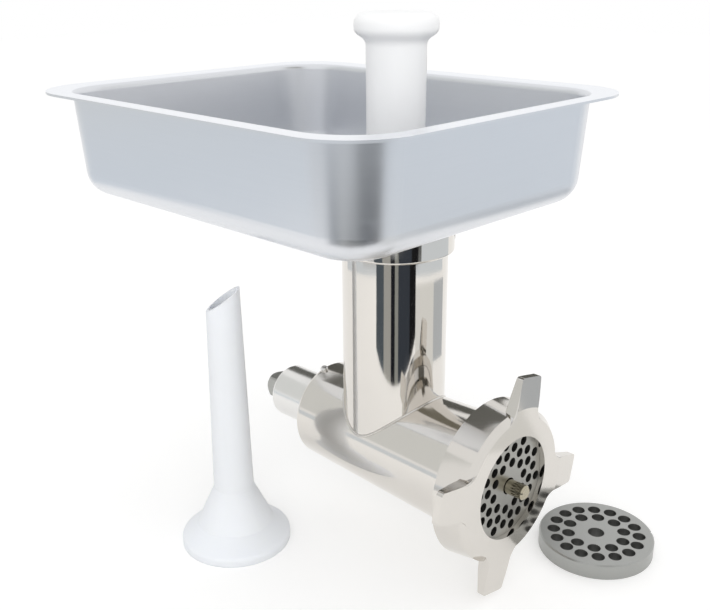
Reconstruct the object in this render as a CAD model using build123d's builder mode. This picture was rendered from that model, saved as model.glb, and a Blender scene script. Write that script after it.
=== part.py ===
from build123d import *
import math
import os

# Stainless meat grinder head with feed pan, stomper and loose fittings, in millimetres.
# X runs along the barrel towards the ring nut and Z is up. The origin is on the barrel's
# axis, at the shoulder that seats against the drive.

# Fits and gaps
running_gap = 0.05
sliding_gap = 0.3
rub_gap = 0.1
lift_gap = 0.6

# Barrel
barrel_length = 142.5
barrel_rear_radius = 31.0
barrel_front_radius = 35.0
barrel_bore_radius = 27.5
barrel_rear_wall = 8.0
shoulder_round = 3.0
rifle_groove_radius = 1.3
rifle_groove_count = 8

# Threaded mouth
thread_crest_radius = 40.0
thread_length = 15.0
thread_pitch = 3.0
thread_depth = 1.4
thread_half_angle = 30.0
flare_length = 6.0

# Feed tube and its collar
feed_tube_x = 57.0
feed_tube_radius = 30.8
feed_tube_wall = 4.4
feed_tube_top = 143.0
collar_wall = 3.5
collar_height = 22.0
collar_round = 1.6

# Drive hub and bush
hub_radius = 17.45
hub_length = 39.6
hub_round = 3.0
hub_spigot_step = 2.5
bush_wall = 3.0
bush_recess = 1.0

# Locating pin on the shoulder
locating_pin_radius = 2.4
locating_pin_inset = 3.4
locating_pin_depth = 6.0
locating_pin_stand = 2.2
locating_pin_turn = 14.0

# Worm, shank and stud
journal_radius = 9.5
shank_tail_length = 16.5
shank_square = 14.4
shank_chamfer = 3.5
shank_grip = 32.0
shank_pin_radius = 2.5
shank_pin_setback = 16.0
thrust_washer_wall = 7.0
thrust_washer_thickness = 2.0
worm_gap = 0.6
worm_core_rear_radius = 14.0
worm_core_front_radius = 16.0
worm_pitch = 29.0
flight_thickness = 5.0
flight_root = 3.0
flight_margin = 4.0
stud_grip = 24.0
stud_thread_radius = 6.0
stud_square = 11.0
stud_radius = 4.3
stud_reach = 11.6
stud_chamfer = 1.0

# Knife
knife_thickness = 9.0
knife_radius = 26.0
knife_hub_radius = 12.0
knife_arm_width = 10.0
knife_relief = 4.0

# Cutting plates
plate_radius = 34.8
plate_thickness = 9.5
plate_stand_out = 1.5
plate_centre_radius = 5.0
plate_chamfer = 0.8
plate_notch_gap = 0.2
fine_hole_radius = 2.8
fine_hole_count = 10
fine_ring_radii = (14.2, 19.7, 23.3, 26.8)
fine_hole_turn = 9.0
coarse_hole_radius = 3.95
coarse_outer_ring_radius = 25.8
coarse_outer_count = 16
coarse_inner_ring_radius = 17.2
coarse_inner_count = 10

# Plate key
key_radius = 1.5
key_length = 6.0

# Ring nut
ring_lip = 3.3
ring_opening_radius = 30.3
ring_skirt_radius = 46.9
ring_skirt_length = 20.0
ring_valley_radius = 41.0
ring_edge_bevel = 3.6
ring_edge_round = 0.8
ring_turn = 12.4
wing_count = 4
wing_reach = 64.5
wing_tip_width = 18.0
wing_base_width = 29.0
wing_root_round = 12.0
wing_tip_round = 2.0
wing_thickness = 7.4
wing_slope_start = 47.0
wing_slope_drop = 1.2
wing_back_drop = 2.2

# Feed pan
pan_front_overhang = 83.8
pan_rear_overhang = 195.5
pan_width = 235.2
pan_depth = 63.0
pan_floor_corner = 28.5
pan_rim_corner = 37.6
pan_flange_width = 12.3
pan_wall_lean = 4.5
pan_bottom_round = 15.5
pan_sheet = 1.4
pan_rim_bend = 3.0
pan_neck_length = 30.0
pan_neck_wall = 1.5

# Stomper
stomper_shaft_radius = 16.5
stomper_shaft_foot_radius = 15.6
stomper_foot_height = 30.0
stomper_foot_round = 4.0
stomper_shoulder = 3.0
stomper_knob_radius = 22.9
stomper_knob_height = 17.0
stomper_knob_brim = 7.5
stomper_knob_round = 6.0
stomper_top = 251.0
stomper_plug_radius = 10.0
stomper_plug_length = 25.0

# Loose pieces beside the head, standing at the table's height
table_gap = 3.5
spare_plate_ahead = 13.0
spare_plate_aside = 39.0
spare_plate_turn = 45.0
funnel_gap = 10.0
funnel_back = 9.5
funnel_flange_radius = 34.0
funnel_flange_height = 5.0
funnel_flange_round = 2.5
funnel_shoulder_height = 9.0
funnel_cone_height = 24.0
funnel_cone_radius = 23.5
funnel_base_radius = 12.4
funnel_tip_radius = 10.0
funnel_height = 168.0
funnel_wall = 1.8
funnel_tip_slope = 35.0

# Sizes that follow from the ones above
throat_radius = feed_tube_radius - feed_tube_wall
collar_radius = feed_tube_radius + collar_wall
hub_spigot_radius = hub_radius - hub_spigot_step
bush_bore_radius = journal_radius + running_gap
bush_radius = bush_bore_radius + bush_wall
plate_seat_x = barrel_length - plate_thickness + plate_stand_out
plate_front_x = plate_seat_x + plate_thickness
pocket_radius = plate_radius + sliding_gap
thread_start_x = barrel_length - thread_length
flare_start_x = thread_start_x - flare_length
worm_radius = barrel_bore_radius - worm_gap
worm_start_x = barrel_rear_wall + thrust_washer_thickness + rub_gap
shank_end_x = -(hub_length + shank_tail_length)
knife_front_x = plate_seat_x - rub_gap
worm_end_x = knife_front_x - knife_thickness
ring_back_face_x = plate_front_x + rub_gap
ring_front_x = ring_back_face_x + ring_lip
ring_start_x = ring_front_x - ring_skirt_length
ring_bore_radius = thread_crest_radius + sliding_gap
pan_length = pan_front_overhang + pan_rear_overhang
pan_centre_x = feed_tube_x + (pan_front_overhang - pan_rear_overhang) / 2
pan_top_z = feed_tube_top + pan_depth
pan_floor_round = min(pan_bottom_round, pan_floor_corner - pan_sheet)
neck_radius = throat_radius - sliding_gap
neck_bore_radius = neck_radius - pan_neck_wall
stomper_foot_radius = neck_bore_radius - lift_gap
stomper_bottom = worm_radius + sliding_gap
stomper_foot_top = stomper_bottom + stomper_foot_height
stomper_neck = stomper_top - stomper_knob_height
table_z = -(wing_reach + table_gap)
spare_plate_x = ring_front_x + spare_plate_ahead
spare_plate_y = plate_radius + spare_plate_aside
funnel_x = -funnel_back
funnel_y = -(barrel_rear_radius + funnel_flange_radius + funnel_gap)
pin_plane = Plane.XY.rotated((locating_pin_turn, 0, 0)).offset(barrel_rear_radius - locating_pin_depth)


def thread_grooves(start_x, crest, depth, length):
    """Return the zigzag points of ring grooves along a threaded stretch, one for each pitch."""
    half_width = abs(depth) * math.tan(math.radians(thread_half_angle))
    points = []
    for turn in range(int(length // thread_pitch)):
        middle = start_x + (turn + 0.5) * thread_pitch
        points.append((middle - half_width, crest))
        points.append((middle, crest - depth))
        points.append((middle + half_width, crest))
    return points


def plate_blank(back_plane):
    """Return a cutting plate's disc, its back on the plane and a bevel round its face."""
    with BuildPart() as blank:
        with BuildSketch(back_plane):
            Circle(plate_radius)
        extrude(amount=plate_thickness)
        face_edges = blank.faces().sort_by(Axis(back_plane.origin, back_plane.z_dir))[-1].edges()
        chamfer(face_edges, length=plate_chamfer)
    return blank.part


# Barrel: a tapered turned body with a threaded mouth, a plate pocket and a throat in its top
with BuildPart() as barrel:
    with BuildSketch(Plane.XZ):
        with BuildLine():
            Polyline(
                (0, hub_spigot_radius),
                (0, barrel_rear_radius),
                (flare_start_x, barrel_front_radius),
                (thread_start_x, thread_crest_radius),
                *thread_grooves(thread_start_x, thread_crest_radius, thread_depth, thread_length),
                (barrel_length, thread_crest_radius),
                (barrel_length, pocket_radius),
                (plate_seat_x, pocket_radius),
                (plate_seat_x, barrel_bore_radius),
                (barrel_rear_wall, barrel_bore_radius),
                (barrel_rear_wall, hub_spigot_radius),
                close=True,
            )
        make_face()
    revolve(axis=Axis.X)
    shoulder_edges = barrel.edges().filter_by(GeomType.CIRCLE).group_by(Axis.X)[0]
    fillet(shoulder_edges.sort_by(SortBy.RADIUS)[-1], radius=shoulder_round)
    with BuildSketch(Plane.XY):
        with Locations((feed_tube_x, 0)):
            Circle(throat_radius)
    extrude(amount=feed_tube_top, mode=Mode.SUBTRACT)
    with BuildSketch(Plane.YZ.offset(barrel_rear_wall)):
        with PolarLocations(barrel_bore_radius, rifle_groove_count):
            Circle(rifle_groove_radius)
    extrude(amount=worm_end_x - barrel_rear_wall, mode=Mode.SUBTRACT)
    with BuildSketch(pin_plane):
        with Locations((locating_pin_inset, 0)):
            Circle(locating_pin_radius)
    extrude(amount=locating_pin_depth + locating_pin_stand, mode=Mode.SUBTRACT)
    with BuildSketch(Plane.YZ.offset(barrel_length)):
        with Locations((0, pocket_radius)):
            Circle(key_radius)
    extrude(amount=-key_length, mode=Mode.SUBTRACT)
barrel.part.label = "barrel"

# Feed tube: stands on the barrel with its foot cut to the barrel's taper
with BuildPart() as feed_tube:
    with BuildSketch(Plane.XY):
        with Locations((feed_tube_x, 0)):
            Circle(feed_tube_radius)
            Circle(throat_radius, mode=Mode.SUBTRACT)
    extrude(amount=feed_tube_top)
    with BuildSketch(Plane.XZ):
        with BuildLine():
            Polyline(
                (0, 0),
                (0, barrel_rear_radius),
                (flare_start_x, barrel_front_radius),
                (flare_start_x, 0),
                close=True,
            )
        make_face()
    revolve(axis=Axis.X, mode=Mode.SUBTRACT)
feed_tube.part.label = "feed_tube"

# Feed collar: the thicker band round the top of the feed tube, which the pan rests on
with BuildPart() as feed_collar:
    with BuildSketch(Plane.XY.offset(feed_tube_top - collar_height)):
        with Locations((feed_tube_x, 0)):
            Circle(collar_radius)
            Circle(feed_tube_radius, mode=Mode.SUBTRACT)
    extrude(amount=collar_height)
    collar_edges = feed_collar.edges().filter_by(GeomType.CIRCLE).group_by(SortBy.RADIUS)[-1]
    fillet(collar_edges, radius=collar_round)
feed_collar.part.label = "feed_collar"

# Drive hub: the round nose that slides into the drive's socket
with BuildPart() as drive_hub:
    with BuildSketch(Plane.XZ):
        with BuildLine():
            Polyline(
                (-hub_length, bush_radius),
                (-hub_length, hub_radius),
                (0, hub_radius),
                (0, hub_spigot_radius),
                (barrel_rear_wall, hub_spigot_radius),
                (barrel_rear_wall, bush_radius),
                close=True,
            )
        make_face()
    revolve(axis=Axis.X)
    hub_end_edges = drive_hub.edges().filter_by(GeomType.CIRCLE).group_by(Axis.X)[0]
    fillet(hub_end_edges.sort_by(SortBy.RADIUS)[-1], radius=hub_round)
drive_hub.part.label = "drive_hub"

# Hub bush: the bronze sleeve that carries the worm's journal
with BuildPart() as hub_bush:
    with BuildSketch(Plane.YZ.offset(bush_recess - hub_length)):
        Circle(bush_radius)
        Circle(bush_bore_radius, mode=Mode.SUBTRACT)
    extrude(amount=hub_length - bush_recess + barrel_rear_wall)
hub_bush.part.label = "hub_bush"

# Locating pin: a peg on top of the shoulder that stops the barrel turning in the drive
with BuildPart() as locating_pin:
    with BuildSketch(pin_plane):
        with Locations((locating_pin_inset, 0)):
            Circle(locating_pin_radius)
    extrude(amount=locating_pin_depth + locating_pin_stand)
    fillet(locating_pin.faces().sort_by(Axis.Z)[-1].edges(), radius=locating_pin_radius / 2)
locating_pin.part.label = "locating_pin"

# Plate key: a small peg in the mouth's wall that keeps the cutting plate from turning
with BuildPart() as plate_key:
    with BuildSketch(Plane.YZ.offset(barrel_length)):
        with Locations((0, pocket_radius)):
            Circle(key_radius)
    extrude(amount=-key_length)
plate_key.part.label = "plate_key"

# Thrust washer: takes the worm's push against the barrel's rear wall
with BuildPart() as thrust_washer:
    with BuildSketch(Plane.YZ.offset(barrel_rear_wall)):
        Circle(journal_radius + sliding_gap + thrust_washer_wall)
        Circle(journal_radius + sliding_gap, mode=Mode.SUBTRACT)
    extrude(amount=thrust_washer_thickness)
thrust_washer.part.label = "thrust_washer"

# Worm: a tapered core with one helical flight, bored for the shank and the stud
with BuildPart() as worm:
    with BuildSketch(Plane.XZ):
        with BuildLine():
            Polyline(
                (worm_start_x, 0),
                (worm_start_x, worm_core_rear_radius),
                (worm_end_x, worm_core_front_radius),
                (worm_end_x, 0),
                close=True,
            )
        make_face()
    revolve(axis=Axis.X)
    flight_inner_radius = worm_core_rear_radius - flight_root
    flight_mid_radius = (worm_radius + flight_inner_radius) / 2
    with BuildLine() as flight_path:
        Helix(
            pitch=worm_pitch,
            height=worm_end_x - worm_start_x - 2 * flight_margin,
            radius=flight_mid_radius,
            center=(worm_start_x + flight_margin, 0, 0),
            direction=(1, 0, 0),
        )
    flight_start = flight_path.line @ 0
    outwards = Vector(0, flight_start.Y, flight_start.Z)
    with BuildSketch(Plane(origin=flight_start, x_dir=outwards, z_dir=flight_path.line % 0)):
        Rectangle(worm_radius - flight_inner_radius, flight_thickness)
    sweep(path=flight_path.line, is_frenet=True)
    with BuildSketch(Plane.YZ.offset(worm_start_x)):
        Circle(journal_radius)
    extrude(amount=shank_grip, mode=Mode.SUBTRACT)
    with BuildSketch(Plane.YZ.offset(worm_end_x)):
        Circle(stud_thread_radius)
    extrude(amount=-stud_grip, mode=Mode.SUBTRACT)
    with BuildSketch(Plane.XZ.offset(-worm_core_rear_radius)):
        with Locations((worm_start_x + shank_pin_setback, 0)):
            Circle(shank_pin_radius)
    extrude(amount=2 * worm_core_rear_radius, mode=Mode.SUBTRACT)
worm.part.label = "worm"

# Worm shank: the journal that runs in the bush, with a square tail for the drive
with BuildPart() as worm_shank:
    with BuildSketch(Plane.YZ.offset(-hub_length)):
        Circle(journal_radius)
    extrude(amount=hub_length + worm_start_x + shank_grip)
    with BuildSketch(Plane.YZ.offset(-hub_length)):
        Circle(journal_radius)
        Rectangle(shank_square, shank_square, mode=Mode.INTERSECT)
    extrude(amount=-shank_tail_length)
    with BuildSketch(Plane.XZ):
        with BuildLine():
            Polyline(
                (shank_end_x, journal_radius - shank_chamfer),
                (shank_end_x, 2 * journal_radius),
                (shank_end_x + shank_chamfer + journal_radius, 2 * journal_radius),
                close=True,
            )
        make_face()
    revolve(axis=Axis.X, mode=Mode.SUBTRACT)
    with BuildSketch(Plane.XZ.offset(-worm_core_rear_radius)):
        with Locations((worm_start_x + shank_pin_setback, 0)):
            Circle(shank_pin_radius)
    extrude(amount=2 * worm_core_rear_radius, mode=Mode.SUBTRACT)
worm_shank.part.label = "worm_shank"

# Shank pin: the cross pin that locks the shank in the worm
with BuildPart() as shank_pin:
    with BuildSketch(Plane.XZ.offset(-worm_core_rear_radius)):
        with Locations((worm_start_x + shank_pin_setback, 0)):
            Circle(shank_pin_radius)
    extrude(amount=2 * worm_core_rear_radius)
shank_pin.part.label = "shank_pin"

# Worm stud: screwed into the worm, with a square for the knife and a nose through the plate
with BuildPart() as worm_stud:
    with BuildSketch(Plane.YZ.offset(worm_end_x)):
        Circle(stud_thread_radius)
    extrude(amount=-stud_grip)
    with BuildSketch(Plane.YZ.offset(worm_end_x)):
        Rectangle(stud_square, stud_square)
    extrude(amount=knife_thickness)
    with BuildSketch(Plane.YZ.offset(worm_end_x)):
        Circle(stud_radius)
    extrude(amount=plate_front_x + stud_reach - worm_end_x)
    chamfer(worm_stud.faces().sort_by(Axis.X)[-1].edges(), length=stud_chamfer)
worm_stud.part.label = "worm_stud"

# Knife: four arms with a relieved back, on the stud's square
with BuildPart() as knife:
    with BuildSketch(Plane.YZ.offset(worm_end_x)):
        Circle(knife_hub_radius)
        Rectangle(2 * knife_radius, knife_arm_width)
        Rectangle(knife_arm_width, 2 * knife_radius)
        Circle(knife_radius, mode=Mode.INTERSECT)
        Rectangle(stud_square, stud_square, mode=Mode.SUBTRACT)
    extrude(amount=knife_thickness)
    for quarter in range(4):
        relief_plane = Plane(origin=(worm_end_x, 0, 0)).rotated((90 * quarter, 0, 0))
        with BuildSketch(relief_plane.offset(knife_hub_radius)):
            with Locations((0, knife_arm_width / 2)):
                Rectangle(2 * knife_relief, knife_relief)
        extrude(amount=knife_radius, mode=Mode.SUBTRACT)
knife.part.label = "knife"

# Cutting plate: the fine plate behind the ring nut's lip, notched for the key
cutting_plane = Plane.YZ.offset(plate_seat_x)
cutting_blank = plate_blank(cutting_plane)
with BuildPart() as cutting_plate:
    add(cutting_blank)
    with BuildSketch(cutting_plane):
        Circle(plate_centre_radius)
        for ring, ring_radius in enumerate(fine_ring_radii):
            first_hole = fine_hole_turn + 180 / fine_hole_count * (ring % 2)
            with PolarLocations(ring_radius, fine_hole_count, start_angle=first_hole):
                Circle(fine_hole_radius)
        with Locations((0, pocket_radius)):
            Circle(key_radius + plate_notch_gap)
    extrude(amount=plate_thickness, mode=Mode.SUBTRACT)
cutting_plate.part.label = "cutting_plate"

# Ring nut: a threaded skirt with an inner lip and four sloping wings
with BuildPart() as ring_nut:
    with BuildSketch(Plane.YZ.offset(ring_front_x - wing_thickness)) as star:
        Circle(ring_valley_radius)
        with PolarLocations(0, wing_count, start_angle=90 - ring_turn):
            Polygon(
                (0, -wing_base_width / 2),
                (wing_reach, -wing_tip_width / 2),
                (wing_reach, wing_tip_width / 2),
                (0, wing_base_width / 2),
                align=None,
            )
        fillet(star.vertices().group_by(SortBy.DISTANCE)[0], radius=wing_root_round)
        fillet(star.vertices().group_by(SortBy.DISTANCE)[-1], radius=wing_tip_round)
    extrude(amount=wing_thickness)
    star_faces = ring_nut.faces().sort_by(Axis.X)
    fillet(star_faces[0].edges() + star_faces[-1].edges(), radius=ring_edge_round)
    slope_end = 2 * wing_reach - wing_slope_start
    wing_back_x = ring_front_x - wing_thickness
    with BuildSketch(Plane.XZ):
        with BuildLine():
            Polyline(
                (ring_front_x, wing_slope_start),
                (ring_front_x, slope_end),
                (ring_front_x - 2 * wing_slope_drop, slope_end),
                close=True,
            )
        make_face()
        with BuildLine():
            Polyline(
                (wing_back_x, wing_slope_start),
                (wing_back_x, slope_end),
                (wing_back_x + 2 * wing_back_drop, slope_end),
                close=True,
            )
        make_face()
    revolve(axis=Axis.X, mode=Mode.SUBTRACT)
    with BuildSketch(Plane.XZ):
        with BuildLine():
            Polyline(
                (ring_start_x, 0),
                (ring_start_x, ring_skirt_radius),
                (ring_front_x - ring_edge_bevel, ring_valley_radius + ring_edge_bevel),
                (ring_front_x, ring_valley_radius),
                (ring_front_x, 0),
                close=True,
            )
        make_face()
    revolve(axis=Axis.X)
    with BuildSketch(Plane.XZ):
        with BuildLine():
            Polyline(
                (ring_start_x, 0),
                (ring_start_x, ring_bore_radius),
                *thread_grooves(ring_start_x, ring_bore_radius, -thread_depth, ring_skirt_length - ring_lip),
                (ring_back_face_x, ring_bore_radius),
                (ring_back_face_x, ring_opening_radius),
                (ring_front_x, ring_opening_radius),
                (ring_front_x, 0),
                close=True,
            )
        make_face()
    revolve(axis=Axis.X, mode=Mode.SUBTRACT)
ring_nut.part.label = "ring_nut"


def pan_block(sheet):
    """Return the pan's leaning block with a rounded floor, drawn in by one sheet thickness."""
    floor_inset = pan_flange_width + pan_wall_lean + sheet
    with BuildPart() as block:
        with BuildSketch(Plane.XY.offset(feed_tube_top + sheet)):
            with Locations((pan_centre_x, 0)):
                RectangleRounded(
                    pan_length - 2 * floor_inset,
                    pan_width - 2 * floor_inset,
                    pan_floor_corner - sheet,
                )
        extrude(amount=pan_depth, taper=-math.degrees(math.atan(pan_wall_lean / pan_depth)))
        fillet(block.faces().sort_by(Axis.Z)[0].edges(), radius=pan_floor_round - sheet)
    return block.part


# Feed pan: a pressed tray with leaning walls, a rounded floor and a flat rim on a bend
pan_outside = pan_block(0)
pan_inside = pan_block(pan_sheet)
with BuildPart() as feed_pan:
    add(pan_outside)
    with BuildSketch(Plane.XY.offset(pan_top_z - pan_sheet)):
        with Locations((pan_centre_x, 0)):
            RectangleRounded(pan_length, pan_width, pan_rim_corner)
    extrude(amount=pan_sheet)
    add(pan_inside, mode=Mode.SUBTRACT)
    under_rim = feed_pan.faces().filter_by(Plane.XY).sort_by(Axis.Z)[-2]
    fillet(under_rim.inner_wires()[0].edges(), radius=pan_rim_bend)
    rim_top = feed_pan.faces().sort_by(Axis.Z)[-1]
    fillet(rim_top.inner_wires()[0].edges(), radius=pan_rim_bend + pan_sheet)
    with BuildSketch(Plane.XY.offset(feed_tube_top)):
        with Locations((feed_tube_x, 0)):
            Circle(neck_radius)
    extrude(amount=pan_sheet, mode=Mode.SUBTRACT)
feed_pan.part.label = "feed_pan"

# Pan neck: the short pipe under the pan's hole, which drops into the feed tube
with BuildPart() as pan_neck:
    with BuildSketch(Plane.XY.offset(feed_tube_top + pan_sheet)):
        with Locations((feed_tube_x, 0)):
            Circle(neck_radius)
            Circle(neck_bore_radius, mode=Mode.SUBTRACT)
    extrude(amount=-(pan_neck_length + pan_sheet))
pan_neck.part.label = "pan_neck"

# Stomper shaft: a slightly tapered rod on a wide foot that fills the throat
throat_axis = Axis((feed_tube_x, 0, 0), (0, 0, 1))
with BuildPart() as stomper_shaft:
    with BuildSketch(Plane.XZ) as shaft_profile:
        with BuildLine():
            Polyline(
                (feed_tube_x, stomper_bottom),
                (feed_tube_x + stomper_foot_radius, stomper_bottom),
                (feed_tube_x + stomper_foot_radius, stomper_foot_top),
                (feed_tube_x + stomper_shaft_foot_radius, stomper_foot_top + stomper_shoulder),
                (feed_tube_x + stomper_shaft_radius, stomper_neck),
                (feed_tube_x + stomper_plug_radius, stomper_neck),
                (feed_tube_x + stomper_plug_radius, stomper_neck - stomper_plug_length),
                (feed_tube_x, stomper_neck - stomper_plug_length),
                close=True,
            )
        make_face()
        fillet(shaft_profile.vertices().group_by(Axis.X)[-1].sort_by(Axis.Y)[0], radius=stomper_foot_round)
    revolve(axis=throat_axis)
stomper_shaft.part.label = "stomper_shaft"

# Stomper knob: the mushroom grip, with a plug pressed into the shaft
with BuildPart() as stomper_knob:
    with BuildSketch(Plane.XZ) as knob_profile:
        knob_start = (feed_tube_x + stomper_shaft_radius, stomper_neck)
        knob_brim = (feed_tube_x + stomper_knob_radius, stomper_top - stomper_knob_brim)
        with BuildLine():
            Polyline(
                knob_start,
                (feed_tube_x + stomper_plug_radius, stomper_neck),
                (feed_tube_x + stomper_plug_radius, stomper_neck - stomper_plug_length),
                (feed_tube_x, stomper_neck - stomper_plug_length),
                (feed_tube_x, stomper_top),
                (feed_tube_x + stomper_knob_radius, stomper_top),
                knob_brim,
            )
            Spline(knob_brim, knob_start, tangents=((0, -1), (0, -1)))
        make_face()
        top_points = knob_profile.vertices().group_by(Axis.Y)[-1].sort_by(Axis.X)
        fillet(top_points[-1], radius=stomper_knob_round)
    revolve(axis=throat_axis)
stomper_knob.part.label = "stomper_knob"

# Stuffing tube: a tapered spout on a cone and a flange, its tip cut on a slope
funnel_axis = Axis((funnel_x, funnel_y, 0), (0, 0, 1))
funnel_cone_top = funnel_flange_height + funnel_shoulder_height + funnel_cone_height
with BuildPart() as stuffing_tube:
    with BuildSketch(Plane.XZ.offset(-funnel_y)) as funnel_profile:
        with BuildLine():
            Polyline(
                (funnel_x + funnel_flange_radius, table_z),
                (funnel_x + funnel_flange_radius, table_z + funnel_flange_height),
                (funnel_x + funnel_cone_radius, table_z + funnel_flange_height + funnel_shoulder_height),
                (funnel_x + funnel_base_radius, table_z + funnel_cone_top),
                (funnel_x + funnel_tip_radius, table_z + funnel_height),
                (funnel_x + funnel_tip_radius - funnel_wall, table_z + funnel_height),
                (funnel_x + funnel_base_radius - funnel_wall, table_z + funnel_cone_top),
                (funnel_x + funnel_cone_radius - funnel_wall, table_z + funnel_shoulder_height),
                (funnel_x + funnel_cone_radius - funnel_wall, table_z),
                close=True,
            )
        make_face()
        rim_points = funnel_profile.vertices().group_by(Axis.X)[-1].sort_by(Axis.Y)
        fillet(rim_points[-1], radius=funnel_flange_round)
    revolve(axis=funnel_axis)
    tip_plane = Plane(
        origin=(funnel_x, funnel_y, table_z + funnel_height),
        x_dir=(1, -1, 0),
        z_dir=Vector(-1, -1, 0).normalized() * math.sin(math.radians(funnel_tip_slope))
        + Vector(0, 0, math.cos(math.radians(funnel_tip_slope))),
    )
    tip_drop = funnel_tip_radius * math.sin(math.radians(funnel_tip_slope))
    split(bisect_by=tip_plane.offset(-tip_drop), keep=Keep.BOTTOM)
stuffing_tube.part.label = "stuffing_tube"

# Spare plate: the coarse plate lying flat beside the ring nut
spare_plane = Plane(origin=(spare_plate_x, spare_plate_y, table_z)).rotated((0, 0, spare_plate_turn))
spare_blank = plate_blank(spare_plane)
with BuildPart() as spare_plate:
    add(spare_blank)
    with BuildSketch(spare_plane):
        Circle(plate_centre_radius)
        half_step = 180 / coarse_outer_count
        with PolarLocations(coarse_outer_ring_radius, coarse_outer_count, start_angle=half_step):
            Circle(coarse_hole_radius)
        with PolarLocations(coarse_inner_ring_radius, coarse_inner_count):
            Circle(coarse_hole_radius)
        with Locations((pocket_radius, 0)):
            Circle(key_radius + plate_notch_gap)
    extrude(amount=plate_thickness, mode=Mode.SUBTRACT)
spare_plate.part.label = "spare_plate"

# Write every piece
pieces = (
    barrel,
    feed_tube,
    feed_collar,
    drive_hub,
    hub_bush,
    locating_pin,
    plate_key,
    thrust_washer,
    worm,
    worm_shank,
    shank_pin,
    worm_stud,
    knife,
    cutting_plate,
    ring_nut,
    feed_pan,
    pan_neck,
    stomper_shaft,
    stomper_knob,
    stuffing_tube,
    spare_plate,
)
os.makedirs("parts", exist_ok=True)
for piece in pieces:
    export_step(piece.part, f"parts/{piece.part.label}.step")
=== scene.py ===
"""Finishes, the feed tube's weld, and a studio for the meat grinder head."""

import math

import bmesh
import bpy
from bpy.props import FloatProperty, FloatVectorProperty, PointerProperty
from mathutils import Matrix, Vector


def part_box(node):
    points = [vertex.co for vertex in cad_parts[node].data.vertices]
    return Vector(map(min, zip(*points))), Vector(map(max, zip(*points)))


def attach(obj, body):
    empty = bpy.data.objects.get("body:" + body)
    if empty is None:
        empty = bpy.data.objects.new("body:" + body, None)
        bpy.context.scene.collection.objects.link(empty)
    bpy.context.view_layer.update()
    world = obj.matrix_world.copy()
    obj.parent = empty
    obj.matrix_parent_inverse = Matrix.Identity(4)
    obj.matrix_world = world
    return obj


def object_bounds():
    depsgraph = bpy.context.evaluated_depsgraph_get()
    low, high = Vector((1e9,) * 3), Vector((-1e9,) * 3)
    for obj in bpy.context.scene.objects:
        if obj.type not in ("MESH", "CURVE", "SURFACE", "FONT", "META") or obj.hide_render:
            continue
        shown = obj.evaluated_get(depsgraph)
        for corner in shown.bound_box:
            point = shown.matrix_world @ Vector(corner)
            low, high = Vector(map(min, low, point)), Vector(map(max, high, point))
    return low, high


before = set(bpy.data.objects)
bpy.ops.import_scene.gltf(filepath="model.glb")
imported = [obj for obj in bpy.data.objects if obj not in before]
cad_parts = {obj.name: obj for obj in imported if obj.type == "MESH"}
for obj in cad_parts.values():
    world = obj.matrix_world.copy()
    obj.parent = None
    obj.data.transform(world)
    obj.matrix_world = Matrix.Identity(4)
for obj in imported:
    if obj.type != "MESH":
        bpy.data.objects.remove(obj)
CAD_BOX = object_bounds()

bl_info = {
    "name": "Meat grinder head",
    "version": (1, 0, 0),
    "blender": (4, 5, 0),
    "location": "View3D > Sidebar > Grinder",
    "description": "Finishes the meat grinder head and sets up its studio",
    "category": "Object",
}

# The image that the camera is set for, in pixels, and the camera's sensor in millimetres
IMAGE_WIDTH = 710
FOCAL_LENGTH_PIXELS = 933.8
SENSOR_WIDTH = 36.0

# Numbers of points along the weld's loop and round its bead
WELD_POINTS = 144
WELD_SIDES = 10

# A Mix node's sockets for two colours and for their blend
MIX_FIRST = 6
MIX_SECOND = 7
MIX_RESULT = 2

# Where the painted shade on the walls of a plate's holes ends: how far inside the rim, in mark
# spacings, and over what length in metres
RIM_MARKS = 4
RIM_FADE = 0.001

# Shares of a finish's colour: the weld's and the ring nut's of the polished steel, and that of
# the pan's floor and rim of its walls, lighter as a painted sheen on the upward faces
WELD_SHADE = 0.90
RING_SHADE = 0.95
PAN_TOP_PAINTED_SHEEN = 1.18

# How far red, green and blue light spread in milky plastic, in depths of so many metres
MILK_SPREAD = (1.0, 1.0, 1.1)
MILK_DEPTH = 0.004

# Painted reflections, strips on the floor in front of the head that only the polished steel
# mirrors: where each starts and ends, in degrees from the camera's side, and its colour
FRONT_STRIPS = (
    ("slate", -39, -23, (0.09, 0.11, 0.13)),
    ("pale", -23, -8, (0.42, 0.42, 0.40)),
    ("black", -8, 0, (0.012, 0.013, 0.018)),
    ("grey", 0, 7, (0.31, 0.32, 0.30)),
    ("blue", 7, 31, (0.045, 0.053, 0.068)),
    ("dark", 31, 44, (0.012, 0.012, 0.013)),
)

# Wider cards on the floor, painted reflections too, the upper ones first: start and end in the
# same degrees, near and far edge from the feed tube in metres, and colour
FLOOR_FANS = (
    ("corner_pale", -70, 5, 0.60, 1.2, (0.66, 0.68, 0.70)),
    ("corner_dark", 5, 50, 0.62, 1.2, (0.14, 0.145, 0.145)),
    ("side_floor", 44, 90, 0.23, 0.54, (0.84, 0.84, 0.82)),
    ("ring_floor", 90, 125, 0.31, 0.54, (0.55, 0.58, 0.61)),
    ("far_floor", -120, 120, 0.57, 4.0, (0.74, 0.79, 0.84)),
)

# Most degrees from one corner of such a card to the next, and how far each lies below the one
# before, in metres
FAN_STEP = 8.0
FAN_DROP = 0.0001

# Upright cards, painted reflections too: bearing in the same degrees, distance from the feed
# tube, half the width, lower and upper edge above the floor in metres, and colour
WALL_CARDS = (
    ("rear_card", 180, 0.25, 0.15, 0.120, 0.268, (0.12, 0.12, 0.11)),
    ("left_card", -95, 0.80, 0.62, 0.12, 0.95, (0.77, 0.78, 0.77)),
    ("front_card", 48, 0.50, 0.28, 0.55, 1.00, (0.25, 0.24, 0.20)),
)

# How far the cards stand above the floor and the flag hangs below the pan, in metres, and the
# flag's colour, a painted reflection of the shade under the pan
CARD_HEIGHT = 0.001
FLAG_DROP = 0.0005
FLAG_PAINTED_SHADE = (0.16, 0.16, 0.15)


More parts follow.
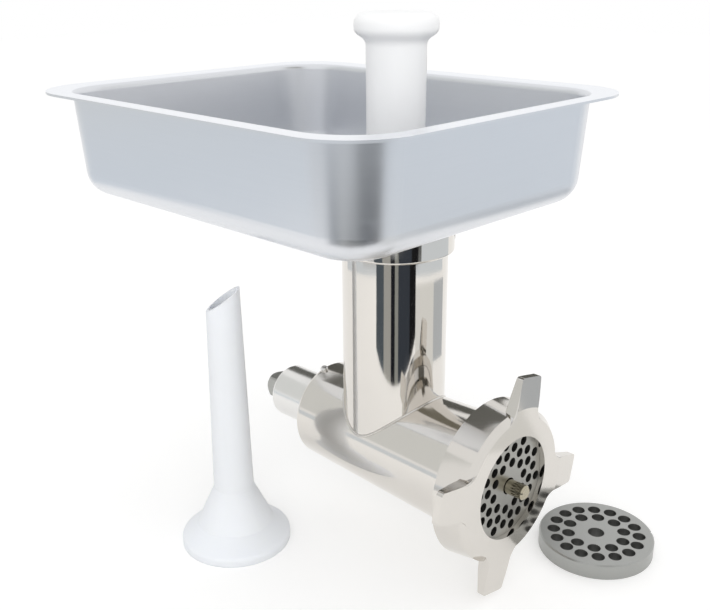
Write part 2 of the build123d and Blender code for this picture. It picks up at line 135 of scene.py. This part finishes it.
def colour(name, description, default):
    """A colour that a user can change."""
    return FloatVectorProperty(
        name=name,
        description=description,
        default=default,
        subtype="COLOR",
        size=3,
        min=0,
        max=1,
    )


def length(name, description, default):
    """A length in metres that a user can change."""
    return FloatProperty(
        name=name,
        description=description,
        default=default,
        subtype="DISTANCE",
        unit="LENGTH",
        precision=5,
    )


def angle(name, description, degrees):
    """An angle that a user can change."""
    return FloatProperty(
        name=name,
        description=description,
        default=math.radians(degrees),
        subtype="ANGLE",
        unit="ROTATION",
    )


def share(name, description, default):
    """A share of one that a user can change."""
    return FloatProperty(
        name=name,
        description=description,
        default=default,
        min=0,
        max=1,
        subtype="FACTOR",
    )


def power(name, description, default):
    """A lamp's power in watts that a user can change."""
    return FloatProperty(name=name, description=description, default=default, min=0, unit="POWER")


def place(name, description, default):
    """A place in metres that a user can change."""
    return FloatVectorProperty(
        name=name,
        description=description,
        default=default,
        subtype="TRANSLATION",
        unit="LENGTH",
        size=3,
    )


class GrinderColours(bpy.types.PropertyGroup):
    """Base colours of the finishes."""

    polished: colour(
        "Polished steel", "Barrel, feed tube, collar and ring nut", (0.735, 0.706, 0.664)
    )
    turned: colour("Turned steel", "Hub, locating pin and plate key", (0.85, 0.84, 0.82))
    milled: colour("Milled steel", "Worm's shank and its pin", (0.46, 0.46, 0.44))
    cast: colour("Cast steel", "Worm", (0.58, 0.57, 0.55))
    ground: colour("Ground steel", "Spare plate and knife", (0.44, 0.445, 0.43))
    worn: colour("Worn steel", "Cutting plate", (0.44, 0.436, 0.41))
    pressed: colour("Pressed sheet", "Feed pan and its neck", (0.755, 0.77, 0.80))
    bronze: colour("Bronze", "Hub's bush and worm's stud", (0.46, 0.42, 0.32))
    nylon: colour("Nylon", "Thrust washer", (0.80, 0.78, 0.72))
    stomper: colour("Stomper", "Stomper's white plastic", (0.97, 0.973, 0.977))
    spout: colour("Spout", "Stuffing tube's pale plastic", (0.88, 0.905, 0.95))
    floor: colour("Floor", "Studio floor", (0.77, 0.767, 0.76))


class GrinderGrain(bpy.types.PropertyGroup):
    """Sizes of the weld and of the marks in the finishes."""

    weld_radius: length(
        "Weld radius", "Half the width of the weld at the feed tube's foot", 0.0008
    )
    mark_spacing: length(
        "Mark spacing", "Distance between brushed, turned or polished marks", 0.0008
    )
    mark_run: length("Mark run", "Length of such a mark", 0.07)
    mark_depth: length("Mark depth", "Depth of brushed or turned marks", 0.00002)
    wave_length: length("Wave length", "Length of the slow waves that polishing leaves", 0.04)
    wave_height: length("Wave height", "Height of those waves", 0.00005)
    cloud_size: length("Cloud size", "Size of the cloudy patches on bare metal", 0.02)
    pore_size: length("Pore size", "Size of the pores of cast steel and moulded plastic", 0.0006)


class GrinderStudio(bpy.types.PropertyGroup):
    """Camera, floor, light and cards."""

    camera: place("Camera", "Where the camera stands", (0.4040, -0.3828, 0.2764))
    yaw: angle("Yaw", "Camera's turn to the left from looking along +Y", 44.78)
    pitch: angle("Pitch", "How far the camera looks down", 20.24)
    roll: angle("Roll", "Camera's turn about its line of sight", -0.509)
    floor_reach: length("Floor reach", "Half the side of the floor", 4.0)
    floor_lift: share("Floor lift", "Light that the floor adds where it is seen", 0.32)
    sky: share("Sky", "Strength of the even light from all round", 0.90)
    lamp: place("Lamp", "Where the soft lamp hangs", (-0.15, 0.35, 1.10))
    lamp_power: power("Lamp power", "Power of the soft lamp", 0.8)
    fill: place(
        "Fill lamp", "Where the fill lamp hangs, at the camera's side", (0.85, -0.80, 0.42)
    )
    fill_power: power("Fill power", "Power of the fill lamp", 3.7)
    lamp_size: length("Lamp size", "Diameter of both lamps", 0.9)
    strips_near: length("Strips start", "Distance from the feed tube to the front strips", 0.275)
    strips_far: length("Strips end", "Distance from the feed tube to their far ends", 0.66)
    flag_start: length(
        "Flag start", "Where the flag under the pan starts, from the barrel's axis", -0.02
    )
    flag_inset: length("Flag inset", "How far the flag stays inside the pan's rim", 0.034)


class Wire:
    """An output socket. Arithmetic on it adds Math nodes."""

    def __init__(self, finish, socket):
        self.finish = finish
        self.socket = socket

    def maths(self, operation, first, second):
        """Adds a Math node on two numbers or sockets."""
        return self.finish.add("ShaderNodeMath", {"operation": operation}, {0: first, 1: second})

    def __add__(self, other):
        return self.maths("ADD", self, other)

    def __radd__(self, other):
        return self.maths("ADD", other, self)

    def __sub__(self, other):
        return self.maths("SUBTRACT", self, other)

    def __rsub__(self, other):
        return self.maths("SUBTRACT", other, self)

    def __mul__(self, other):
        return self.maths("MULTIPLY", self, other)

    def __rmul__(self, other):
        return self.maths("MULTIPLY", other, self)


class Finish:
    """The nodes of one material or world."""

    def __init__(self, owner):
        owner.use_nodes = True
        self.owner = owner
        self.nodes = owner.node_tree.nodes
        self.links = owner.node_tree.links
        self.nodes.clear()

    def add(self, kind, settings=None, inputs=None, output=0):
        """Adds a node, with its settings and its sockets' values or links, and gives one output."""
        node = self.nodes.new(kind)
        for name, value in (settings or {}).items():
            setattr(node, name, value)
        for name, value in (inputs or {}).items():
            if isinstance(value, Wire):
                self.links.new(value.socket, node.inputs[name])
            else:
                node.inputs[name].default_value = value
        return Wire(self, node.outputs[output]) if node.outputs else None

    def here(self):
        """The point on the piece, in metres, in the piece's own frame."""
        return self.add("ShaderNodeTexCoord", output="Object")

    def facing(self, axis):
        """How far the piece's surface faces along an axis, either way, from 0 to 1."""
        normal = self.add("ShaderNodeTexCoord", output="Normal")
        part = self.add("ShaderNodeSeparateXYZ", inputs={"Vector": normal}, output=axis)
        return self.add("ShaderNodeMath", {"operation": "ABSOLUTE"}, {0: part})

    def noise(self, spacing, detail=2.0, seed=0.0):
        """Noise from 0 to 1 whose features are so far apart along X, Y and Z."""
        point = self.add(
            "ShaderNodeVectorMath",
            {"operation": "DIVIDE"},
            {0: self.here(), 1: tuple(spacing)},
        )
        return self.add(
            "ShaderNodeTexNoise",
            {"noise_dimensions": "4D"},
            {"Vector": point, "W": seed, "Scale": 1.0, "Detail": detail},
        )

    def clouds(self, size, seed=0.0):
        """Cloudy noise of one size in every direction."""
        return self.noise((size, size, size), detail=4.0, seed=seed)

    def marks(self, grain, run, seed=0.0):
        """Fine marks that run along the named axes."""
        spacing = [grain.mark_run if axis in run else grain.mark_spacing for axis in "XYZ"]
        return self.noise(spacing, detail=3.0, seed=seed)

    def steps(self, value, low, high):
        """0 below the low value, 1 above the high one, and smooth between them."""
        return self.add(
            "ShaderNodeMapRange",
            {"interpolation_type": "SMOOTHSTEP"},
            {"Value": value, "From Min": low, "From Max": high},
        )

    def blend(self, mask, first, second):
        """A colour between two colours."""
        ends = [end if isinstance(end, Wire) else (*end, 1.0) for end in (first, second)]
        return self.add(
            "ShaderNodeMix",
            {"data_type": "RGBA"},
            {"Factor": mask, MIX_FIRST: ends[0], MIX_SECOND: ends[1]},
            output=MIX_RESULT,
        )

    def bump(self, height, depth):
        """A normal for a surface raised by a height from 0 to 1 times the depth."""
        return self.add("ShaderNodeBump", inputs={"Distance": depth, "Height": height})

    def surface(self, sockets):
        """Closes a material with one principled shader."""
        shader = self.add("ShaderNodeBsdfPrincipled", inputs=sockets)
        self.add("ShaderNodeOutputMaterial", inputs={"Surface": shader})
        return self.owner


def shade(tint, factor):
    """A colour made darker or lighter by a factor."""
    return tuple(channel * factor for channel in tint)


def polished_steel(name, tint, grain, run, gloss):
    """Mirror-polished steel: slow waves, fine marks along the named axes, and a cloudy haze."""
    steel = Finish(bpy.data.materials.new(name))
    haze = steel.clouds(grain.cloud_size)
    marks = steel.marks(grain, run, seed=3.0)
    hairs = steel.steps(steel.marks(grain, run, seed=9.0), low=0.60, high=0.74)
    waves = steel.clouds(grain.wave_length, seed=7.0)
    return steel.surface({
        "Base Color": steel.blend(haze, shade(tint, 0.95), tint),
        "Metallic": 1.0,
        "Roughness": gloss + 0.05 * haze + 0.03 * marks + 0.06 * hairs,
        "Normal": steel.bump(waves + 0.02 * marks, grain.wave_height),
    })


def lined_steel(name, tint, grain, run, gloss):
    """Turned, milled or brushed metal with marks along the named axes."""
    steel = Finish(bpy.data.materials.new(name))
    marks = steel.marks(grain, run, seed=2.0)
    haze = steel.clouds(2 * grain.cloud_size)
    return steel.surface({
        "Base Color": steel.blend(0.7 * marks + 0.3 * haze, shade(tint, 0.86), tint),
        "Metallic": 1.0,
        "Roughness": gloss + 0.10 * marks + 0.08 * haze,
        "Normal": steel.bump(marks, grain.mark_depth),
    })


def pan_steel(name, tint, grain):
    """Satin pressed sheet, brushed along its walls and lengthways over its floor; a painted sheen
    lightens the floor and rim.
    """
    steel = Finish(bpy.data.materials.new(name))
    upward_brushing_and_sheen = steel.steps(steel.facing("Z"), low=0.75, high=0.9)
    walls = steel.marks(grain, "XY", seed=1.0)
    floors = steel.marks(grain, "X", seed=4.0)
    brushing = walls + upward_brushing_and_sheen * (floors - walls)
    haze = steel.clouds(3 * grain.cloud_size)
    spots = steel.steps(steel.clouds(0.5 * grain.cloud_size, seed=6.0), low=0.55, high=0.75)
    sheet = steel.blend(0.5 * brushing + 0.5 * haze, shade(tint, 0.94), tint)
    return steel.surface({
        # The upward faces, the pan's floor and rim, are painted lighter: a painted sheen
        "Base Color": steel.blend(upward_brushing_and_sheen, sheet, shade(tint, PAN_TOP_PAINTED_SHEEN)),
        "Metallic": 1.0,
        "Roughness": 0.27 + 0.05 * brushing + 0.07 * haze + 0.03 * spots,
        "Normal": steel.bump(brushing, grain.mark_depth),
    })


def ground_plate(name, tint, grain, axis, hub, rim, hole_shade):
    """Ground steel of a cutting plate about an axis, with painted shade on the walls of its holes.
    """
    steel = Finish(bpy.data.materials.new(name))
    across = tuple(0.0 if letter == axis else 1.0 for letter in "XYZ")
    offset = steel.add(
        "ShaderNodeVectorMath",
        {"operation": "SUBTRACT"},
        {0: steel.here(), 1: tuple(hub)},
    )
    level = steel.add("ShaderNodeVectorMath", {"operation": "MULTIPLY"}, {0: offset, 1: across})
    reach = steel.add("ShaderNodeVectorMath", {"operation": "LENGTH"}, {0: level}, output="Value")
    face_on = steel.steps(steel.facing(axis), low=0.2, high=0.6)
    outside = steel.steps(reach, low=rim - RIM_FADE, high=rim)
    hole = (1 - face_on) * (1 - outside)
    grit = steel.clouds(grain.pore_size, seed=5.0)
    marks = steel.marks(grain, "Y", seed=8.0)
    haze = steel.clouds(grain.cloud_size)
    face = steel.blend(0.4 * grit + 0.3 * marks + 0.3 * haze, shade(tint, 0.80), tint)
    return steel.surface({
        # The walls of the holes are painted darker: painted shade in the recesses
        "Base Color": steel.blend(hole, face, shade(tint, hole_shade)),
        "Metallic": 1.0,
        "Roughness": 0.24 + 0.10 * haze + 0.08 * marks + 0.2 * hole,
        "Normal": steel.bump(0.5 * grit + marks, grain.mark_depth),
    })


def cast_steel(name, tint, grain):
    """Satin cast steel with shallow pores."""
    steel = Finish(bpy.data.materials.new(name))
    pores = steel.clouds(2 * grain.pore_size)
    haze = steel.clouds(grain.cloud_size, seed=2.0)
    return steel.surface({
        "Base Color": steel.blend(0.5 * pores + 0.5 * haze, shade(tint, 0.82), tint),
        "Metallic": 1.0,
        "Roughness": 0.28 + 0.10 * pores + 0.10 * haze,
        "Normal": steel.bump(pores, 2 * grain.mark_depth),
    })


def moulded_plastic(name, tint, grain, gloss, milkiness):
    """Moulded plastic with a faint flow mottle and a fine skin."""
    plastic = Finish(bpy.data.materials.new(name))
    mottle = plastic.clouds(grain.cloud_size)
    skin = plastic.clouds(grain.pore_size, seed=4.0)
    return plastic.surface({
        "Base Color": plastic.blend(mottle, shade(tint, 0.97), tint),
        "Roughness": gloss + 0.08 * mottle + 0.06 * skin,
        "Subsurface Weight": milkiness,
        "Subsurface Radius": MILK_SPREAD,
        "Subsurface Scale": MILK_DEPTH,
        "Normal": plastic.bump(skin, 0.5 * grain.mark_depth),
    })


def dress(material, *nodes):
    """Gives CAD nodes a finish."""
    for name in nodes:
        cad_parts[name].material_slots[0].material = material


def weld_path():
    """The loop where the feed tube's outside stands on the barrel."""
    low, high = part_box("feed_tube")
    centre = (low + high) / 2
    radius = (high.x - low.x) / 2
    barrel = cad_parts["barrel"]
    path = []
    for index in range(WELD_POINTS):
        turn = math.tau * index / WELD_POINTS
        x = centre.x + radius * math.cos(turn)
        y = centre.y + radius * math.sin(turn)
        above = Vector((x, y, high.z))
        found, point, _, _ = barrel.ray_cast(above, Vector((0, 0, -1)))
        if not found:
            raise RuntimeError("the feed tube's foot doesn't stand on the barrel")
        path.append(point)
    return path


def bead_along(path, radius):
    """A round bead along a closed loop of points."""
    bead = bmesh.new()
    rings = []
    for index, point in enumerate(path):
        ahead = (path[(index + 1) % len(path)] - path[index - 1]).normalized()
        out = ahead.cross(Vector((0, 0, 1))).normalized()
        up = out.cross(ahead)
        turns = [math.tau * side / WELD_SIDES for side in range(WELD_SIDES)]
        rings.append([
            bead.verts.new(point + radius * (math.cos(turn) * out + math.sin(turn) * up))
            for turn in turns
        ])
    for index, ring in enumerate(rings):
        last = rings[index - 1]
        for side in range(WELD_SIDES):
            bead.faces.new((last[side - 1], last[side], ring[side], ring[side - 1])).smooth = True
    bmesh.ops.recalc_face_normals(bead, faces=bead.faces)
    return bead


class GRINDER_OT_body(bpy.types.Operator):
    """Polish the barrel, the feed tube and its collar"""

    bl_idname = "grinder.body"
    bl_label = "Polished body"

    def execute(self, context):
        grain = context.scene.grinder_grain
        tint = context.scene.grinder_colours.polished
        barrel = polished_steel("barrel_polish", tint, grain, run="YZ", gloss=0.07)
        tube = polished_steel("feed_tube_polish", tint, grain, run="XY", gloss=0.02)
        dress(barrel, "barrel")
        dress(tube, "feed_tube", "feed_collar")
        return {"FINISHED"}


class GRINDER_OT_weld(bpy.types.Operator):
    """Lay the polished weld round the feed tube's foot"""

    bl_idname = "grinder.weld"
    bl_label = "Feed tube weld"

    def execute(self, context):
        grain = context.scene.grinder_grain
        mesh = bpy.data.meshes.new("feed_tube_weld")
        bead = bead_along(weld_path(), grain.weld_radius)
        bead.to_mesh(mesh)
        bead.free()
        tint = shade(context.scene.grinder_colours.polished, WELD_SHADE)
        mesh.materials.append(polished_steel("weld_polish", tint, grain, run="XY", gloss=0.12))
        weld = bpy.data.objects.new("feed_tube_weld", mesh)
        context.scene.collection.objects.link(weld)
        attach(weld, "head")
        return {"FINISHED"}


class GRINDER_OT_ring_nut(bpy.types.Operator):
    """Polish the ring nut"""

    bl_idname = "grinder.ring_nut"
    bl_label = "Ring nut"

    def execute(self, context):
        grain = context.scene.grinder_grain
        tint = shade(context.scene.grinder_colours.polished, RING_SHADE)
        dress(polished_steel("ring_polish", tint, grain, run="YZ", gloss=0.06), "ring_nut")
        return {"FINISHED"}


class GRINDER_OT_drive_end(bpy.types.Operator):
    """Finish the hub, its bush, the locating pin and the worm's shank"""

    bl_idname = "grinder.drive_end"
    bl_label = "Drive end"

    def execute(self, context):
        grain = context.scene.grinder_grain
        colours = context.scene.grinder_colours
        hub = lined_steel("hub_turning", colours.turned, grain, run="YZ", gloss=0.12)
        pins = lined_steel("pin_turning", colours.turned, grain, run="XY", gloss=0.18)
        bush = lined_steel("bush_turning", colours.bronze, grain, run="YZ", gloss=0.28)
        shank = lined_steel("shank_milling", colours.milled, grain, run="X", gloss=0.32)
        dress(hub, "drive_hub")
        dress(pins, "locating_pin", "plate_key")
        dress(bush, "hub_bush")
        dress(shank, "worm_shank", "shank_pin")
        return {"FINISHED"}


class GRINDER_OT_worm_set(bpy.types.Operator):
    """Finish the worm, its washer and stud, and the knife"""

    bl_idname = "grinder.worm_set"
    bl_label = "Worm and knife"

    def execute(self, context):
        grain = context.scene.grinder_grain
        colours = context.scene.grinder_colours
        stud = lined_steel("stud_turning", colours.bronze, grain, run="YZ", gloss=0.10)
        knife = lined_steel("knife_grinding", colours.ground, grain, run="Y", gloss=0.20)
        washer = moulded_plastic("washer_nylon", colours.nylon, grain, gloss=0.45, milkiness=0.0)
        dress(cast_steel("worm_casting", colours.cast, grain), "worm")
        dress(stud, "worm_stud")
        dress(knife, "knife")
        dress(washer, "thrust_washer")
        return {"FINISHED"}


class GRINDER_OT_plates(bpy.types.Operator):
    """Finish the cutting plate and the spare plate"""

    bl_idname = "grinder.plates"
    bl_label = "Cutting plates"

    def execute(self, context):
        grain = context.scene.grinder_grain
        colours = context.scene.grinder_colours
        # Node, colour, axis, and the share of the colour that the painted shade leaves on the hole
        # walls
        plates = (
            ("cutting_plate", colours.worn, "X", 0.3),
            ("spare_plate", colours.ground, "Z", 0.55),
        )
        for node, tint, axis, hole_shade in plates:
            low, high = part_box(node)
            hub = (low + high) / 2
            rim = (high.y - low.y) / 2 - RIM_MARKS * grain.mark_spacing
            dress(ground_plate(node + "_grinding", tint, grain, axis, hub, rim, hole_shade), node)
        return {"FINISHED"}


class GRINDER_OT_pan(bpy.types.Operator):
    """Brush the feed pan and its neck"""

    bl_idname = "grinder.pan"
    bl_label = "Feed pan"

    def execute(self, context):
        tint = context.scene.grinder_colours.pressed
        dress(pan_steel("pan_brushing", tint, context.scene.grinder_grain), "feed_pan", "pan_neck")
        return {"FINISHED"}


class GRINDER_OT_stomper(bpy.types.Operator):
    """Finish the stomper"""

    bl_idname = "grinder.stomper"
    bl_label = "Stomper"

    def execute(self, context):
        grain = context.scene.grinder_grain
        tint = context.scene.grinder_colours.stomper
        plastic = moulded_plastic("stomper_moulding", tint, grain, gloss=0.28, milkiness=0.0)
        dress(plastic, "stomper_shaft", "stomper_knob")
        return {"FINISHED"}


class GRINDER_OT_stuffing_tube(bpy.types.Operator):
    """Finish the stuffing tube"""

    bl_idname = "grinder.stuffing_tube"
    bl_label = "Stuffing tube"

    def execute(self, context):
        grain = context.scene.grinder_grain
        tint = context.scene.grinder_colours.spout
        plastic = moulded_plastic("spout_moulding", tint, grain, gloss=0.42, milkiness=0.35)
        dress(plastic, "stuffing_tube")
        return {"FINISHED"}


def stage_sheet(name, corners, material):
    """A flat sheet of the studio, which is no part of the object."""
    mesh = bpy.data.meshes.new(name)
    mesh.from_pydata(corners, [], [range(len(corners))])
    mesh.materials.append(material)
    sheet = bpy.data.objects.new(name, mesh)
    bpy.context.scene.collection.objects.link(sheet)
    return sheet


def mirror_card(name, corners, tint):
    """A glowing card that only mirrors show: a painted reflection."""
    card = Finish(bpy.data.materials.new(name))
    glow = card.add("ShaderNodeEmission", inputs={"Color": (*tint, 1.0), "Strength": 1.0})
    card.add("ShaderNodeOutputMaterial", inputs={"Surface": glow})
    sheet = stage_sheet(name, corners, card.owner)
    sheet.visible_camera = False
    sheet.visible_diffuse = False
    sheet.visible_transmission = False
    sheet.visible_shadow = False


def seen(finish):
    """1 for rays of the camera, of mirrors and through clear pieces, and 0 for soft light."""
    camera, mirror, clear = (
        finish.add("ShaderNodeLightPath", output=f"Is {ray} Ray")
        for ray in ("Camera", "Glossy", "Transmission")
    )
    rays = camera + mirror + clear
    return finish.add("ShaderNodeMath", {"operation": "MINIMUM"}, {0: rays, 1: 1.0})


def bearing(direction, degrees):
    """A level direction turned about the vertical."""
    return Matrix.Rotation(math.radians(degrees), 3, "Z") @ direction


def lay_floor(scene, studio, height):
    """A pale floor that keeps the object's shadow."""
    floor = Finish(bpy.data.materials.new("studio_floor"))
    tint = (*scene.grinder_colours.floor, 1.0)
    paint = floor.add("ShaderNodeBsdfDiffuse", inputs={"Color": tint})
    light = floor.add("ShaderNodeEmission", inputs={"Strength": studio.floor_lift * seen(floor)})
    both = floor.add("ShaderNodeAddShader", inputs={0: paint, 1: light})
    floor.add("ShaderNodeOutputMaterial", inputs={"Surface": both})
    reach = studio.floor_reach
    corners = [
        (-reach, -reach, height),
        (reach, -reach, height),
        (reach, reach, height),
        (-reach, reach, height),
    ]
    stage_sheet("studio_floor", corners, floor.owner)


def light_studio(scene, studio):
    """Even light from all round, white where it is seen."""
    world = bpy.data.worlds.new("studio_sky")
    sky = Finish(world)
    strength = studio.sky + (1 - studio.sky) * seen(sky)
    white = (1.0, 1.0, 1.0, 1.0)
    glow = sky.add("ShaderNodeBackground", inputs={"Color": white, "Strength": strength})
    sky.add("ShaderNodeOutputWorld", inputs={"Surface": glow})
    scene.world = world


def hang_lamp(scene, name, location, size, watts):
    """A soft lamp turned to the object's middle, which mirrors don't show."""
    light = bpy.data.lights.new(name, "AREA")
    light.shape = "DISK"
    light.size = size
    light.energy = watts
    lamp = bpy.data.objects.new(name, light)
    lamp.location = location
    middle = (CAD_BOX[0] + CAD_BOX[1]) / 2
    lamp.rotation_euler = (middle - lamp.location).to_track_quat("-Z", "Y").to_euler()
    lamp.visible_glossy = False
    scene.collection.objects.link(lamp)


def set_camera(scene, studio):
    """The photograph's camera."""
    right = Vector((math.cos(studio.yaw), math.sin(studio.yaw), 0))
    level = Vector((-math.sin(studio.yaw), math.cos(studio.yaw), 0))
    ahead = level * math.cos(studio.pitch) - Vector((0, 0, math.sin(studio.pitch)))
    up = right.cross(ahead)
    across = right * math.cos(studio.roll) + up * math.sin(studio.roll)
    upright = up * math.cos(studio.roll) - right * math.sin(studio.roll)
    lens = bpy.data.cameras.new("photo_camera")
    lens.sensor_width = SENSOR_WIDTH
    lens.lens = SENSOR_WIDTH * FOCAL_LENGTH_PIXELS / IMAGE_WIDTH
    camera = bpy.data.objects.new("photo_camera", lens)
    turned = Matrix((across, upright, -ahead)).transposed().to_4x4()
    camera.matrix_world = Matrix.Translation(studio.camera) @ turned
    scene.collection.objects.link(camera)
    scene.camera = camera


def lay_cards(studio, height):
    """Painted reflections: cards round the feed tube's foot for the polished steel to mirror."""
    low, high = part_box("feed_tube")
    foot = Vector(((low.x + high.x) / 2, (low.y + high.y) / 2, height))
    toward = Vector((studio.camera[0] - foot.x, studio.camera[1] - foot.y, 0)).normalized()
    up = Vector((0, 0, 1))
    for name, start, end, tint in FRONT_STRIPS:
        sides = [bearing(toward, turn) / math.cos(math.radians(turn)) for turn in (start, end)]
        corners = [
            foot + sides[0] * studio.strips_near,
            foot + sides[0] * studio.strips_far,
            foot + sides[1] * studio.strips_far,
            foot + sides[1] * studio.strips_near,
        ]
        mirror_card("front_strip_" + name, corners, tint)
    for index, (name, start, end, near, far, tint) in enumerate(FLOOR_FANS, 1):
        steps = math.ceil((end - start) / FAN_STEP)
        turns = [start + (end - start) * step / steps for step in range(steps + 1)]
        middle = foot - index * FAN_DROP * up
        corners = [middle + bearing(toward, turn) * near for turn in turns]
        corners += [middle + bearing(toward, turn) * far for turn in reversed(turns)]
        mirror_card(name, corners, tint)
    for name, turn, distance, half_width, bottom, top, tint in WALL_CARDS:
        middle = foot + bearing(toward, turn) * distance
        across = bearing(toward, turn + 90) * half_width
        corners = [
            middle - across + bottom * up,
            middle + across + bottom * up,
            middle + across + top * up,
            middle - across + top * up,
        ]
        mirror_card(name, corners, tint)


def hang_flag(studio):
    """A dark flag under the far part of the pan, for the barrel's top to mirror: a painted
    reflection of shade.
    """
    low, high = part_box("feed_pan")
    height = low.z - FLAG_DROP
    left = low.x + studio.flag_inset
    right = high.x - studio.flag_inset
    near = studio.flag_start
    far = high.y - studio.flag_inset
    corners = [
        (left, near, height),
        (right, near, height),
        (right, far, height),
        (left, far, height),
    ]
    mirror_card("pan_flag", corners, FLAG_PAINTED_SHADE)


class GRINDER_OT_stage(bpy.types.Operator):
    """Set up the floor, the light, the cards and the camera"""

    bl_idname = "grinder.stage"
    bl_label = "Studio"

    def execute(self, context):
        scene = context.scene
        studio = scene.grinder_studio
        height = CAD_BOX[0].z
        lay_floor(scene, studio, height)
        lay_cards(studio, height + CARD_HEIGHT)
        hang_flag(studio)
        light_studio(scene, studio)
        hang_lamp(scene, "soft_lamp", studio.lamp, studio.lamp_size, studio.lamp_power)
        hang_lamp(scene, "fill_lamp", studio.fill, studio.lamp_size, studio.fill_power)
        set_camera(scene, studio)
        scene.view_settings.view_transform = "Standard"
        return {"FINISHED"}


OPERATORS = (
    GRINDER_OT_body,
    GRINDER_OT_weld,
    GRINDER_OT_ring_nut,
    GRINDER_OT_drive_end,
    GRINDER_OT_worm_set,
    GRINDER_OT_plates,
    GRINDER_OT_pan,
    GRINDER_OT_stomper,
    GRINDER_OT_stuffing_tube,
    GRINDER_OT_stage,
)


class VIEW3D_PT_grinder(bpy.types.Panel):
    """Steps that finish the meat grinder head"""

    bl_label = "Meat grinder head"
    bl_space_type = "VIEW_3D"
    bl_region_type = "UI"
    bl_category = "Grinder"

    def draw(self, context):
        for operator in OPERATORS:
            self.layout.operator(operator.bl_idname)


CLASSES = (GrinderColours, GrinderGrain, GrinderStudio, *OPERATORS, VIEW3D_PT_grinder)


def register():
    for item in CLASSES:
        bpy.utils.register_class(item)
    bpy.types.Scene.grinder_colours = PointerProperty(type=GrinderColours)
    bpy.types.Scene.grinder_grain = PointerProperty(type=GrinderGrain)
    bpy.types.Scene.grinder_studio = PointerProperty(type=GrinderStudio)


def unregister():
    del bpy.types.Scene.grinder_studio
    del bpy.types.Scene.grinder_grain
    del bpy.types.Scene.grinder_colours
    for item in reversed(CLASSES):
        bpy.utils.unregister_class(item)


def main():
    register()
    bpy.ops.grinder.body()
    bpy.ops.grinder.weld()
    bpy.ops.grinder.ring_nut()
    bpy.ops.grinder.drive_end()
    bpy.ops.grinder.worm_set()
    bpy.ops.grinder.plates()
    bpy.ops.grinder.pan()
    bpy.ops.grinder.stomper()
    bpy.ops.grinder.stuffing_tube()
    bpy.ops.grinder.stage()


if __name__ == "__main__":
    main()
